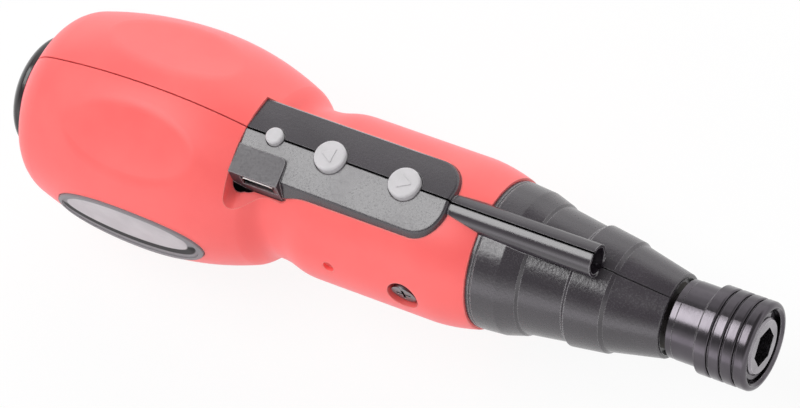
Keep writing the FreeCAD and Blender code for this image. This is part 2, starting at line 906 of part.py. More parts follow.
def chuck_washer():
    return tube(*chuck_washer_span(), land_bore, spring_chamber_radius - seat_gap)


def collar_washer():
    x0 = collar_washer_front - collar_washer_thickness
    return tube(x0, collar_washer_front, bush_bore, collar_washer_radius)


def sleeve_land():
    """Rear and front end of the land that holds the lock balls in."""
    rear = -lock_ball_station + lock_land_overrun
    return (rear, rear + lock_land_length)


def chuck_sleeve():
    rear = collar_washer_front + seat_gap
    front = sleeve_overhang
    land_rear, land_front = sleeve_land()
    relief_front = land_rear - relief_depth / ramp_slope
    relief_rear = relief_front - relief_length
    band_rear = front - rib_count * rib_pitch
    outline = turned_outline(rear, land_bore)
    outline.to((rear, sleeve_neck_radius), (band_rear - sleeve_shoulder, sleeve_neck_radius))
    outline.to((band_rear, sleeve_radius))
    half = rib_groove_width / 2
    floor = sleeve_radius - rib_groove_depth
    for i in range(1, rib_count):
        x = band_rear + i * rib_pitch
        rear_lip = (x - half, sleeve_radius)
        front_lip = (x + half, sleeve_radius)
        outline.to((x - half - rib_round, sleeve_radius))
        outline.round(rear_lip, (x - half, sleeve_radius - rib_round))
        outline.to((x - half, floor), (x + half, floor), (x + half, sleeve_radius - rib_round))
        outline.round(front_lip, (x + half + rib_round, sleeve_radius))
    mouth = (front, sleeve_radius)
    outline.to((front - sleeve_front_round, sleeve_radius))
    outline.round(mouth, (front, sleeve_radius - sleeve_front_round))
    outline.to((front, spring_chamber_radius + sleeve_mouth_bevel))
    outline.to((front - sleeve_mouth_bevel, spring_chamber_radius), (land_front, spring_chamber_radius))
    outline.to((land_front, land_bore), (land_rear, land_bore))
    outline.to((relief_front, relief_radius), (relief_rear, relief_radius), (relief_rear, land_bore))
    return turned(outline)


def lock_ball(side):
    return Part.makeSphere(lock_ball_radius, V(-lock_ball_station, 0, side * lock_ball_centre))


def corner_arc(first, corner, last):
    """Arc between two points whose end tangents meet at a corner."""
    middle = (first + last) * 0.5
    lean = (last - first).Length / 2 / (corner - first).Length
    via = middle + (corner - middle) * (lean / (1 + lean))
    return Part.Arc(first, via, last).toShape()


def biarc(first, leaving, last, arriving):
    """Two arcs that join smoothly, from one point and direction to another."""
    span = last - first
    spread = 2 * (1 - leaving.dot(arriving))
    run = span.dot(leaving + arriving)
    reach = (math.sqrt(run ** 2 + spread * span.dot(span)) - run) / spread
    leave = first + leaving * reach
    arrive = last - arriving * reach
    joint = (leave + arrive) * 0.5
    return [corner_arc(first, leave, joint), corner_arc(joint, arrive, last)]


def chuck_spring():
    """Open coil between the sleeve's land and the washer, a smooth pair of arcs to each half turn."""
    start = sleeve_land()[1] + spring_wire / 2 + running_fit
    end = chuck_washer_span()[0] - spring_wire / 2 - running_fit
    pitch = (end - start) / spring_turns
    radius = head_radius + spring_chamber_gap / 2
    stops = []
    for i in range(2 * spring_turns + 1):
        up = math.cos(math.pi * i)
        heading = V(pitch, 2 * math.pi * radius * up, 0).normalize()
        stops.append((V(start + pitch * i / 2, 0, radius * up), heading))
    arcs = []
    for here, ahead in zip(stops, stops[1:]):
        arcs += biarc(*here, *ahead)
    ring = Part.Wire(Part.Circle(*stops[0], spring_wire / 2).toShape())
    print("chuck spring gap between turns", round(pitch - spring_wire, 3))
    return Part.Wire(arcs).makePipeShell([ring], True, False)


# Planetary gearing

def tooth_half_angle(radius, teeth, thickness):
    """Half the angle that an involute tooth spans at a radius."""
    pitch_radius = gear_module * teeth / 2
    base = pitch_radius * math.cos(pressure_angle)
    lean = math.acos(min(1.0, base / radius))
    flank = math.tan(pressure_angle) - pressure_angle - (math.tan(lean) - lean)
    return thickness / (2 * pitch_radius) + flank


def gear_bar(x0, x1, teeth, tip, root, thickness, phase):
    """Toothed bar along the axis, whose first tooth stands at a phase angle from the top."""
    flank = [(radius, tooth_half_angle(radius, teeth, thickness))
             for radius in (root, gear_module * teeth / 2, tip)]
    points = []
    for i in range(teeth):
        middle = phase + 2 * math.pi * i / teeth
        rising = [(radius, middle - half) for radius, half in flank]
        falling = [(radius, middle + half) for radius, half in reversed(flank)]
        points += [V(x0, -r * math.sin(a), r * math.cos(a)) for r, a in rising + falling]
    return Part.Face(Part.makePolygon(points + points[:1])).extrude(V(x1 - x0, 0, 0))


def outer_gear(x0, x1, teeth, phase):
    pitch_radius = gear_module * teeth / 2
    thickness = math.pi * gear_module / 2 - backlash
    return gear_bar(x0, x1, teeth, pitch_radius + addendum, pitch_radius - dedendum, thickness, phase)


def sun(x0, x1):
    return outer_gear(x0, x1, sun_teeth, 0)


def planet(x0, x1, index):
    gear = outer_gear(x0, x1, planet_teeth, math.pi / planet_teeth)
    gear = gear.cut(rod(x0, x1, pin_radius + running_fit))
    return about_axis(moved(gear, z=orbit_radius), index * 360.0 / planet_count)


def planet_pins(x0, x1, radius):
    pin = rod(x0, x1, radius, z=orbit_radius)
    return [about_axis(pin, i * 360.0 / planet_count) for i in range(planet_count)]


def first_carrier():
    plate = rod(first_carrier_rear, first_carrier_front, carrier_radius)
    plate = plate.cut(planet_pins(first_carrier_rear, first_carrier_front, pin_radius + press_gap))
    return one_solid(plate.fuse(sun(first_carrier_front, second_gear_front)))


def output_carrier():
    plate = rod(output_carrier_rear, output_carrier_front, carrier_radius)
    drive = hex_bar(output_carrier_rear, output_carrier_front, drive_across_flats + 2 * press_gap)
    return plate.cut([drive] + planet_pins(output_carrier_rear, output_carrier_front, pin_radius + press_gap))


def gear_case():
    """Ring gear for both stages with a front wall that guides the spindle."""
    wall_rear = case_front - case_front_wall
    case = rod(case_rear, case_front, case_radius)
    space = math.pi * gear_module / 2 + backlash
    teeth = gear_bar(case_rear, wall_rear, ring_teeth, ring_root, ring_tip, space, math.pi / ring_teeth)
    case = case.cut([teeth, rod(wall_rear, case_front, bush_bore)])
    return case.cut(side_screw_thread(side_screw_radius + press_gap))


def motor_screw_cone(x0, x1, y, small, large):
    return Part.makeCone(small, large, x1 - x0, V(x0, y, 0), V(1, 0, 0))


def motor_screw(y, gap=0.0):
    sink = motor_screw_head - motor_screw_radius
    head = motor_screw_cone(case_rear - sink, case_rear, y, motor_screw_radius + gap, motor_screw_head + gap)
    return head.fuse(rod(case_rear - motor_screw_length, case_rear - sink, motor_screw_radius + gap, y=y))


def motor_screw_sides():
    return (-motor_screw_spread, motor_screw_spread)


def mount_plate():
    plate = tube(motor_front, case_rear, motor_boss_radius + seat_gap, case_radius)
    return plate.cut([motor_screw(y, press_gap) for y in motor_screw_sides()])


# Motor

def flattened_rod(x0, x1, radius, flat):
    return rod(x0, x1, radius).common(box((x0, x1), (-radius, radius), (-flat, flat)))


def motor_can():
    can = flattened_rod(motor_can_rear, motor_front, motor_radius, motor_flat_height)
    can = can.fuse(rod(motor_front, motor_front + motor_boss_length, motor_boss_radius))
    can = can.cut(rod(motor_can_rear, motor_front + motor_boss_length, motor_shaft_radius + running_fit))
    return one_solid(can.cut([motor_screw(y, press_gap) for y in motor_screw_sides()]))


def motor_end_cap():
    flat = motor_flat_height - motor_end_inset
    cap = flattened_rod(motor_rear, motor_can_rear, motor_radius - motor_end_inset, flat)
    cap = cap.fuse(rod(motor_rear - motor_rear_boss_length, motor_rear, motor_rear_boss_radius))
    shaft = rod(motor_rear - motor_rear_boss_length, motor_can_rear, motor_shaft_radius + running_fit)
    return one_solid(cap.cut(shaft))


def motor_terminal(side):
    y = side * motor_lead_spread
    half = terminal_width / 2
    thick = terminal_thickness / 2
    return box((motor_rear - terminal_length, motor_rear), (y - thick, y + thick),
               (terminal_height - half, terminal_height + half))


def motor_lead(side):
    x = motor_rear - terminal_length / 2
    start = terminal_height + terminal_width / 2
    return drum(start, board_bottom, motor_lead_radius, x, side * motor_lead_spread)


def motor_shaft():
    return rod(motor_rear - motor_rear_boss_length, first_gear_front, motor_shaft_radius)


def motor_pinion():
    rear = motor_front + motor_boss_length + free_gap
    return sun(rear, first_gear_front).cut(rod(rear, first_gear_front, motor_shaft_radius + press_gap))


# Cell and board

def cell():
    return rod(cell_rear, cell_front, cell_radius).fuse(
        rod(cell_front, cell_front + cell_nub_height, cell_nub_radius))


def cell_lead_height():
    return board_bottom - cell_lead_radius


def cell_tab(side):
    """Metal strip on one end of the cell, up to the start of its lead."""
    x0 = cell_rear - tab_thickness if side > 0 else cell_front + cell_nub_height
    inner = cell_lead_spread - cell_lead_radius - seat_gap
    across = sorted((side * inner, side * (inner + tab_width)))
    return box((x0, x0 + tab_thickness), across, (-tab_width / 2, cell_lead_height() + cell_lead_radius))


def cell_lead(side):
    """Lead from one tab, along the top of the cell and under the rear edge of the board."""
    start = cell_rear if side > 0 else cell_front + cell_nub_height + tab_thickness
    end = board_rear + lead_overlap
    return rod(start, end, cell_lead_radius, side * cell_lead_spread, cell_lead_height())


def control_board():
    return box((board_rear, board_front), (-board_half_width, board_half_width), (board_bottom, board_top))


def key_switch(x, size, plunger):
    half = size / 2
    body = box((x - half, x + half), (-half, half), (board_top, switch_top))
    return body.cut(drum(switch_top - button_travel - free_gap, switch_top, plunger + seat_gap, x))


def key_plunger(x, radius):
    return drum(switch_top - running_fit, plunger_top, radius, x)


def board_chips():
    middle = (reverse_button_x + forward_button_x) / 2
    rear = (lamp_button_x + reverse_button_x) / 2
    large = box((middle - chip_length / 2, middle + chip_length / 2), (-chip_width / 2, chip_width / 2),
                (board_top, board_top + chip_height))
    half = small_chip_size / 2
    small = [box((rear - half, rear + half), (y - half, y + half), (board_top, board_top + small_chip_height))
             for y in (small_chip_size, 2 * small_chip_size - board_half_width)]
    return [large] + small


def button(x, radius, arrow):
    """Round button with a retaining flange and, on the direction buttons, a raised arrow."""
    top = crown_at(x) + button_proud
    cap = drum(plunger_top, top, radius, x)
    rim = [edge for edge in cap.Edges if edge.Closed and edge.BoundBox.ZMin > top - button_edge]
    cap = cap.makeFillet(button_edge, rim)
    cap = cap.fuse(drum(plunger_top, flange_top, radius + button_flange, x))
    if arrow:
        corners = [V(x + arrow * arrow_size * math.cos(i * 2 * math.pi / 3),
                     arrow_size * math.sin(i * 2 * math.pi / 3), top) for i in range(4)]
        cap = cap.fuse(Part.Face(Part.makePolygon(corners)).extrude(V(0, 0, arrow_height)))
    return one_solid(cap)


def port_shell():
    """Folded metal shell of the socket on two skirts, open to the right, with its top corners cut off."""
    mouth = -port_block_outer - port_shell_proud
    inside = port_bar(mouth, port_shell_depth - port_shell_wall, port_shell_wall)
    shell = port_bar(mouth, port_shell_depth, 0)
    rear, front = port_shell_span()
    along = (-board_half_width, mouth + port_shell_depth)
    height = (board_top + press_gap, port_shell_heights()[0] + port_shell_wall)
    skirts = [box((x, x + port_shell_wall), along, height) for x in (rear, front - port_shell_wall)]
    return one_solid(shell.fuse(skirts).cut(inside))


def port_bar(mouth, depth, inset):
    """Bar with the socket's section, drawn in by an inset on all sides."""
    x = port_shell_span()
    z = port_shell_heights()
    cut = (port_shell_width - port_shell_top_width) / 2
    inner_cut = cut - inset * (2 - math.sqrt(2))
    rear, front = x[0] + inset, x[1] - inset
    low, high = z[0] + inset, z[1] - inset
    outline = Outline(lambda along, up: V(along, mouth, up), (rear, low))
    outline.to((front, low), (front, high - inner_cut), (front - inner_cut, high))
    outline.to((rear + inner_cut, high), (rear, high - inner_cut))
    return outline.face().extrude(V(0, depth, 0))


def port_tongue():
    z = sum(port_shell_heights()) / 2
    back = -port_block_outer - port_shell_proud + port_shell_depth - port_shell_wall
    half = port_tongue_width / 2
    thick = port_tongue_thickness / 2
    span = (lamp_button_x - half, lamp_button_x + half)
    return box(span, (back - port_tongue_depth, back), (z - thick, z + thick))


# Lamp

def lamp_rear():
    return -tube_front - tube_bore_depth


def lamp_bulb():
    rear = lamp_rear()
    flange_end = rear + lamp_flange_length
    dome = flange_end + lamp_body_length
    bulb = rod(flange_end, dome, lamp_radius, z=tube_height)
    bulb = bulb.fuse([rod(rear, flange_end, tube_bore_radius - key_gap, z=tube_height),
                      Part.makeSphere(lamp_radius, V(dome, 0, tube_height))])
    return one_solid(bulb)


def lamp_lead(side):
    return rod(board_front - lead_overlap, lamp_rear(), lamp_lead_radius, side * lamp_lead_spread,
               board_top + lamp_lead_radius)


def pieces():
    """Every node of the tool with its solid, or its group of like solids."""
    cavity = cavity_form()
    form = scalloped_grip_form()
    nodes = {"label_plate": label_plate(form)}
    for side, name in ((-1, "right"), (1, "left")):
        outside = core_outside(side)
        nodes[name + "_housing"] = housing_half(side, outside, cavity)
        nodes[name + "_grip"] = grip_half(side, form, outside)
    nodes["rear_cap"] = rear_cap()
    nodes["side_screw"] = side_screw()

    nodes["spindle"] = spindle()
    nodes["bit_magnet"] = bit_magnet()
    nodes["front_bush"] = tube(bush_rear, bush_front, bush_bore, bush_radius)
    nodes["collar_washer"] = collar_washer()
    nodes["chuck_sleeve"] = chuck_sleeve()
    nodes["chuck_spring"] = chuck_spring()
    nodes["chuck_washer"] = chuck_washer()
    nodes["chuck_ring"] = chuck_ring()
    nodes["upper_lock_ball"] = lock_ball(1)
    nodes["lower_lock_ball"] = lock_ball(-1)

    nodes["gear_case"] = gear_case()
    nodes["mount_plate"] = mount_plate()
    nodes["first_carrier"] = first_carrier()
    nodes["first_pins"] = planet_pins(first_gear_rear, first_carrier_front, pin_radius)
    nodes["output_carrier"] = output_carrier()
    nodes["output_pins"] = planet_pins(second_gear_rear, output_carrier_front, pin_radius)
    for i in range(planet_count):
        nodes["first_planet_%d" % (i + 1)] = planet(first_gear_rear, first_gear_front, i)
        nodes["output_planet_%d" % (i + 1)] = planet(second_gear_rear, second_gear_front, i)

    nodes["motor_can"] = motor_can()
    nodes["motor_end_cap"] = motor_end_cap()
    nodes["motor_shaft"] = motor_shaft()
    nodes["motor_pinion"] = motor_pinion()
    nodes["motor_screws"] = [motor_screw(y) for y in motor_screw_sides()]
    nodes["motor_terminals"] = [motor_terminal(side) for side in (-1, 1)]
    nodes["motor_leads"] = [motor_lead(side) for side in (-1, 1)]

    nodes["cell"] = cell()
    nodes["cell_tabs"] = [cell_tab(side) for side in (-1, 1)]
    nodes["cell_leads"] = [cell_lead(side) for side in (-1, 1)]
    nodes["control_board"] = control_board()
    nodes["board_chips"] = board_chips()
    nodes["port_shell"] = port_shell()
    nodes["port_tongue"] = port_tongue()
    for name, x, arrow in (("forward", forward_button_x, 1), ("reverse", reverse_button_x, -1)):
        nodes[name + "_button"] = button(x, direction_button_radius, arrow)
        nodes[name + "_switch"] = key_switch(x, switch_size, plunger_radius)
        nodes[name + "_plunger"] = key_plunger(x, plunger_radius)
    nodes["lamp_button"] = button(lamp_button_x, lamp_button_radius, 0)
    nodes["lamp_switch"] = key_switch(lamp_button_x, lamp_switch_size, lamp_plunger_radius)
    nodes["lamp_plunger"] = key_plunger(lamp_button_x, lamp_plunger_radius)
    nodes["lamp_bulb"] = lamp_bulb()
    nodes["lamp_leads"] = [lamp_lead(side) for side in (-1, 1)]
    return nodes


os.makedirs("parts", exist_ok=True)
for node, solid in pieces().items():
    shape = Part.makeCompound(solid) if isinstance(solid, list) else solid
    shape.exportStep("parts/" + node + ".step")
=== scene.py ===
import json
import math

import bpy
from mathutils import Matrix, Vector


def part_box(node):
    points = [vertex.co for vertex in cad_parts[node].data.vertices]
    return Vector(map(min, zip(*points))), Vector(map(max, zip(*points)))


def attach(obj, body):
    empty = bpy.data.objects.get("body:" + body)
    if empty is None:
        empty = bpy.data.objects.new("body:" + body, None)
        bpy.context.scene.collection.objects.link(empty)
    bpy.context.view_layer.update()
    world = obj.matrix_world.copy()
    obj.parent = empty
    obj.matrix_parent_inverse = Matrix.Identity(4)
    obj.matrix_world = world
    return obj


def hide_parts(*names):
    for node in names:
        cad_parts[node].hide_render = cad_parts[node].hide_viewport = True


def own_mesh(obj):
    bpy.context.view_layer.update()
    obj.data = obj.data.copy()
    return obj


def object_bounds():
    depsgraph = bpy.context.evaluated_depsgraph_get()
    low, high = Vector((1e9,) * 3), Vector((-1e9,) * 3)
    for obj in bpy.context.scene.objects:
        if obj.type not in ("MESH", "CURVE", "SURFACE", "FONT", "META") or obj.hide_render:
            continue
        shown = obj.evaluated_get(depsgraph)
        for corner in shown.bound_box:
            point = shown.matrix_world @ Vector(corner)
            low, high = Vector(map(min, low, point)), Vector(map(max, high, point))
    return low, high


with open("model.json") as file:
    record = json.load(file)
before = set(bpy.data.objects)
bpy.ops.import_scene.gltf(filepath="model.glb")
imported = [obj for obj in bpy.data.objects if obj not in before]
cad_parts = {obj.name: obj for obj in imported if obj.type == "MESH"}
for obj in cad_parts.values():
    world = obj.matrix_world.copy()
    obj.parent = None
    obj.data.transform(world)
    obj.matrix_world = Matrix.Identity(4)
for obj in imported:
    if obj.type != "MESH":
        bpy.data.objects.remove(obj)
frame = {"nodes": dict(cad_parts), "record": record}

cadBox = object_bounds()
nodes = frame["nodes"]
mm = 0.001
print("frame loaded,", len(nodes), "nodes")

# what all the finishes share
surface = {
    "patchDetail": 3,
    "patchLevels": (0.3, 0.72),         # noise between which one tone turns into the other
    "markDetail": 3,
    "markRoughness": 0.6,
    "markMean": 0.5,
    "edgeTurn": (0.01, 0.12),           # turn of the rounded normal at an edge that gets worn colour and a painted glint
    "seamClear": (0.3 * mm, 0.8 * mm),  # no edge wear and painted glint nearer than this to the mould's seam
    "bevelSamples": 4,
    "stripeBlur": 0.05,
}


# one socket of a shader, so that sums on it are written as plain Python
class Val:
    def __init__(self, graph, socket):
        self.graph = graph
        self.socket = socket

    def math(self, operation, *inputs):
        made = self.graph.node("ShaderNodeMath", {"operation": operation}, dict(enumerate(inputs)))
        return Val(self.graph, made.outputs[0])

    def __add__(self, other):
        return self.math("ADD", self, other)

    def __radd__(self, other):
        return self.math("ADD", other, self)

    def __sub__(self, other):
        return self.math("SUBTRACT", self, other)

    def __rsub__(self, other):
        return self.math("SUBTRACT", other, self)

    def __mul__(self, other):
        return self.math("MULTIPLY", self, other)

    def __rmul__(self, other):
        return self.math("MULTIPLY", other, self)

    def __truediv__(self, other):
        return self.math("DIVIDE", self, other)

    def __pow__(self, other):
        return self.math("POWER", self, other)

    def fade(self, low, high):  # 0 below low, 1 above high, smooth between
        settings = {"interpolation_type": "SMOOTHSTEP", "clamp": True}
        inputs = {"Value": self, "From Min": low, "From Max": high}
        made = self.graph.node("ShaderNodeMapRange", settings, inputs)
        return Val(self.graph, made.outputs["Result"])

    def past(self, start, blur):  # 0 up to the start, then 1 after a soft edge
        return self.fade(start, start + blur)

    def stripes(self, period, share):  # 1 over a share of each period, soft at its ends
        across = self.math("PINGPONG", self, period / 2) / (period / 2)
        return 1 - across.fade(share - surface["stripeBlur"], share + surface["stripeBlur"])


# a node tree, with one method that makes its nodes
class Graph:
    def __init__(self, tree):
        self.tree = tree
        self.tree.nodes.clear()

    def node(self, kind, settings, inputs):
        made = self.tree.nodes.new(kind)
        for key, value in settings.items():
            setattr(made, key, value)
        for key, value in inputs.items():
            self.feed(made.inputs[key], value)
        return made

    def feed(self, socket, value):
        if isinstance(value, Val):
            value = value.socket
        if isinstance(value, bpy.types.NodeSocket):
            self.tree.links.new(value, socket)
        else:
            socket.default_value = value

    def parts(self, vector):  # x, y and z of a vector
        split = self.node("ShaderNodeSeparateXYZ", {}, {"Vector": vector})
        return [Val(self, socket) for socket in split.outputs]


# a material with one Principled shader at its end
class Finish(Graph):
    def __init__(self, name, **constants):
        self.material = bpy.data.materials.new(name)
        self.material.use_nodes = True
        super().__init__(self.material.node_tree)
        self.shader = self.node("ShaderNodeBsdfPrincipled", {}, {})
        self.output = self.node("ShaderNodeOutputMaterial", {}, {"Surface": self.shader.outputs[0]})
        self.place = self.node("ShaderNodeTexCoord", {}, {}).outputs["Object"]
        self.x, self.y, self.z = self.parts(self.place)
        self.aside = self.y.math("ABSOLUTE", self.y)  # distance from the mould's seam
        self.set(**constants)

    def set(self, **inputs):
        for key, value in inputs.items():
            self.feed(self.shader.inputs[key.replace("_", " ")], value)
        return self

    def rays(self, *kinds):  # 1 for rays of these kinds, 0 for the others
        path = self.node("ShaderNodeLightPath", {}, {})
        return sum(Val(self, path.outputs[f"Is {kind} Ray"]) for kind in kinds).fade(0, 1)

    def noise(self, size, detail, roughness=0.5, stretch=(1, 1, 1)):  # size of the marks in metres
        drawn = self.node("ShaderNodeVectorMath", {"operation": "DIVIDE"}, {0: self.place, 1: stretch})
        inputs = {"Vector": drawn.outputs[0], "Scale": 1 / size, "Detail": detail, "Roughness": roughness}
        return Val(self, self.node("ShaderNodeTexNoise", {}, inputs).outputs["Fac"])

    def patches(self, size):  # broad soft patches of 0 and 1
        return self.noise(size, surface["patchDetail"]).fade(*surface["patchLevels"])

    def marks(self, size, stretch=(1, 1, 1)):  # fine marks, drawn out where stretched
        return self.noise(size, surface["markDetail"], surface["markRoughness"], stretch)

    def cells(self, size):  # distance from the middles of cells of this size
        inputs = {"Vector": self.place, "Scale": 1 / size}
        return Val(self, self.node("ShaderNodeTexVoronoi", {}, inputs).outputs["Distance"])

    def blend(self, amount, first, second):  # the first colour at 0, the second at 1
        # sockets 6 and 7 are the two colours
        made = self.node("ShaderNodeMix", {"data_type": "RGBA"}, {0: amount, 6: first, 7: second})
        return made.outputs[2]

    def normal(self):
        return self.node("ShaderNodeNewGeometry", {}, {}).outputs["Normal"]

    def roundedNormal(self, radius):
        settings = {"samples": surface["bevelSamples"]}
        return self.node("ShaderNodeBevel", settings, {"Radius": radius}).outputs[0]

    def edges(self, radius):  # 1 along sharp edges, 0 on open faces
        inputs = {0: self.roundedNormal(radius), 1: self.normal()}
        cosine = self.node("ShaderNodeVectorMath", {"operation": "DOT_PRODUCT"}, inputs).outputs["Value"]
        return (1 - Val(self, cosine)).fade(*surface["edgeTurn"])

    def edgesOffSeam(self, radius):  # the same, without the edges of the mould's seam
        return self.edges(radius) * self.aside.fade(*surface["seamClear"])

    def bump(self, height, depth, radius):  # depth of the marks and rounding of the edges, in metres
        inputs = {"Height": height, "Distance": depth, "Normal": self.roundedNormal(radius)}
        self.set(Normal=self.node("ShaderNodeBump", {}, inputs).outputs[0])
        return self


def rgb(red, green, blue):  # a colour as seen on screen, 0 to 255, in linear light
    def linear(part):
        part = part / 255
        return part / 12.92 if part <= 0.04045 else ((part + 0.055) / 1.055) ** 2.4
    return (linear(red), linear(green), linear(blue), 1)


# camera at the photograph's viewing angle
camera = {
    "at": (259.485 * mm, -245.711 * mm, 688.946 * mm),
    "right": (0.857236, 0.447953, -0.253939),
    "up": (-0.305248, 0.839242, 0.449996),
    "sensor": 36.0,
    "lens": 202.5,
    "nearest": 10 * mm,
}


def addCamera(spec):
    data = bpy.data.cameras.new("viewCamera")
    data.sensor_width = spec["sensor"]
    data.sensor_fit = "HORIZONTAL"
    data.lens = spec["lens"]
    data.clip_start = spec["nearest"]
    right = Vector(spec["right"])
    up = Vector(spec["up"])
    turn = Matrix((right, up, right.cross(up))).transposed().to_4x4()
    item = bpy.data.objects.new("viewCamera", data)
    item.matrix_world = Matrix.Translation(spec["at"]) @ turn
    bpy.context.scene.collection.objects.link(item)
    bpy.context.scene.camera = item


addCamera(camera)
bpy.context.scene.view_settings.view_transform = "Standard"
print("camera placed")


# pale paper floor
floorLook = {
    "size": 4.0,
    "white": (0.9, 0.9, 0.9, 1),
    "whiter": (0.918, 0.918, 0.918, 1),
    "fibre": 4 * mm,
    "fibreDetail": 3,
    "rough": 0.9,
    "glow": 0.9,  # share of plain white that the camera sees on the floor
}


def addFloor(look):
    half = look["size"] / 2
    level = cadBox[0].z
    mesh = bpy.data.meshes.new("floor")
    corners = [(-half, -half, level), (half, -half, level), (half, half, level), (-half, half, level)]
    mesh.from_pydata(corners, [], [(0, 1, 2, 3)])
    item = bpy.data.objects.new("floor", mesh)
    bpy.context.scene.collection.objects.link(item)
    finish = Finish("floorPaper", Roughness=look["rough"])
    paper = finish.noise(look["fibre"], look["fibreDetail"])
    finish.set(Base_Color=finish.blend(paper, look["white"], look["whiter"]))
    glow = finish.node("ShaderNodeEmission", {}, {"Color": (1, 1, 1, 1), "Strength": 1.0})
    seen = finish.rays("Camera", "Glossy", "Transmission") * look["glow"]
    inputs = {0: seen, 1: finish.shader.outputs[0], 2: glow.outputs[0]}
    mixed = finish.node("ShaderNodeMixShader", {}, inputs)
    finish.feed(finish.output.inputs["Surface"], mixed.outputs[0])
    mesh.materials.append(finish.material)


# soft studio lights, all at one distance from the middle of the tool
lightDistance = 1.5
lights = {
    "softbox": {"power": 12.2, "wide": 1.09, "long": 0.69, "from": (-0.38, -0.13, 0.9), "glossy": True},
    "farFill": {"power": 1.15, "wide": 0.85, "long": 0.8, "from": (-0.42, 0.65, 0.64), "glossy": True},
    "backFill": {"power": 7.5, "wide": 1.4, "long": 0.9, "from": (-0.15, 0.85, 0.5), "glossy": False},
    "nearFill": {
        "power": 1.3, "wide": 1.4, "long": 0.5, "from": (-0.1, -0.97, 0.14), "glossy": True,
        "colour": (0.95, 0.88, 1.0),
    },
}


def addLight(name, light):
    data = bpy.data.lights.new(name, "AREA")
    data.shape = "RECTANGLE"
    data.size = light["wide"]
    data.size_y = light["long"]
    data.energy = light["power"]
    data.color = light.get("colour", (1, 1, 1))
    direction = Vector(light["from"]).normalized()
    item = bpy.data.objects.new(name, data)
    item.location = (cadBox[0] + cadBox[1]) / 2 + direction * lightDistance
    item.rotation_euler = direction.to_track_quat("Z", "Y").to_euler()
    item.visible_glossy = light["glossy"]
    bpy.context.scene.collection.objects.link(item)


# light of the room, falling off from the horizon towards the ceiling
room = {"horizon": 1.25, "ceiling": 0.3, "between": (0.25, 0.65)}


def addWorld(spec):
    world = bpy.data.worlds.new("studio")
    world.use_nodes = True
    graph = Graph(world.node_tree)
    toward = graph.node("ShaderNodeTexCoord", {}, {}).outputs["Generated"]
    rise = graph.parts(toward)[2].fade(*spec["between"])
    strength = spec["horizon"] + (spec["ceiling"] - spec["horizon"]) * rise
    sky = graph.node("ShaderNodeBackground", {}, {"Color": (1, 1, 1, 1), "Strength": strength})
    graph.node("ShaderNodeOutputWorld", {}, {"Surface": sky.outputs[0]})
    bpy.context.scene.world = world


addFloor(floorLook)
for name, light in lights.items():
    addLight(name, light)
addWorld(room)
print("stage set")


# red overmould of the grips, its edges made pale for wear and a painted highlight
gripLook = {
    "deep": rgb(250, 96, 94),
    "light": rgb(255, 104, 101),
    "edge": rgb(255, 172, 164),
    "wearGlintShare": 0.6,
    "rough": 0.36,
    "grainRough": 0.1,   # added by the grain
    "patchRough": 0.06,  # added by the patches
    "sheen": 0.16,
    "sheenRough": 0.4,
    "sheenTint": rgb(236, 226, 255),
    "ior": 1.56,
    "patch": 13 * mm,
    "grain": 0.3 * mm,
    "depth": 0.012 * mm,
    "round": 0.3 * mm,
}


def redGrip():
    look = gripLook
    finish = Finish("redGrip", IOR=look["ior"])
    finish.set(Sheen_Weight=look["sheen"], Sheen_Roughness=look["sheenRough"], Sheen_Tint=look["sheenTint"])
    patch = finish.patches(look["patch"])
    grain = finish.marks(look["grain"])
    wearGlint = finish.edgesOffSeam(look["round"]) * look["wearGlintShare"]
    red = finish.blend(patch, look["deep"], look["light"])
    rough = look["rough"] + look["grainRough"] * grain + look["patchRough"] * patch
    finish.set(Base_Color=finish.blend(wearGlint, red, look["edge"]), Roughness=rough)
    return finish.bump(grain, look["depth"], look["round"])


# black moulded housing: leather-grained, smooth on the lamp tube, matt on the port's block, with painted
# shade in the seam and the scoop and a painted highlight on the panel's left edge
housingLook = {
    "deep": rgb(43, 37, 44),
    "light": rgb(51, 45, 52),
    # pale edges: wear, and a painted highlight along the fillets of the nose's steps
    "edge": rgb(178, 175, 178),
    "paintedShade": rgb(8, 8, 8),          # painted shade in the seam groove and in the scoop
    "wearGlintShare": 0.8,
    "rough": 0.2,
    "speckRough": 0.09,            # added by the specks
    "patchRough": 0.05,            # added by the patches
    "blockRough": 0.2,             # added on the block
    "ior": 1.75,
    "patch": 9 * mm,
    "fold": 0.51 * mm,             # folds and pebbles of the leather grain
    "foldDetail": 2,
    "foldRoughness": 0.55,
    "pebble": 0.68 * mm,
    "pebbleShare": 0.5,
    "speck": 0.34 * mm,
    "speckDetail": 1,
    "speckLevels": (0.4, 0.75),
    "depth": 0.02 * mm,
    "round": 0.3 * mm,
    "blur": 0.1 * mm,              # soft edge between two finishes
    "tubeRadius": 3.05 * mm,
    "tubeBlur": 0.305 * mm,
    "tubeSmooth": 0.92,            # share of the grain that the tube lacks
    "seamHalf": 0.15 * mm,
    "seamBlur": 0.09 * mm,
    "seamDrop": 1 * mm,            # the seam's painted shade shows from this far below the lamp's top
    "seamFade": 0.5 * mm,
    "blockWall": 0.65 * mm,        # block's front beyond the port's shell
    "blockSide": -3.2 * mm,        # the block is to the right of this
    "scoopSide": -8.7 * mm,        # painted shade on the foot of its wall, in the scoop, to the right of this
    "rimSide": 6.9 * mm,           # painted highlight on the rounded left edge of the panel
    "rimLow": 14.6 * mm,
    "rimBlur": 0.2 * mm,
    "rimSlopes": ((0.15, 0.3), (0.86, 0.92)),  # how far upward it faces at its foot and at its top
    "rimFront": -70 * mm,          # from here forward the painted highlight fades out
    "rimFade": 8 * mm,
    "rimHighlight": 0.75,
}


def panelRimHighlight(finish, look):  # 1 on the rounded left edge of the panel, where a highlight is painted
    upward = finish.parts(finish.normal())[2]
    foot, top = look["rimSlopes"]
    rounded = upward.fade(*foot) * (1 - upward.fade(*top))
    atSide = finish.y.past(look["rimSide"], look["blur"])
    onPanel = finish.z.past(look["rimLow"], look["rimBlur"])
    return rounded * atSide * onPanel * (1 - finish.x.past(look["rimFront"], look["rimFade"]))


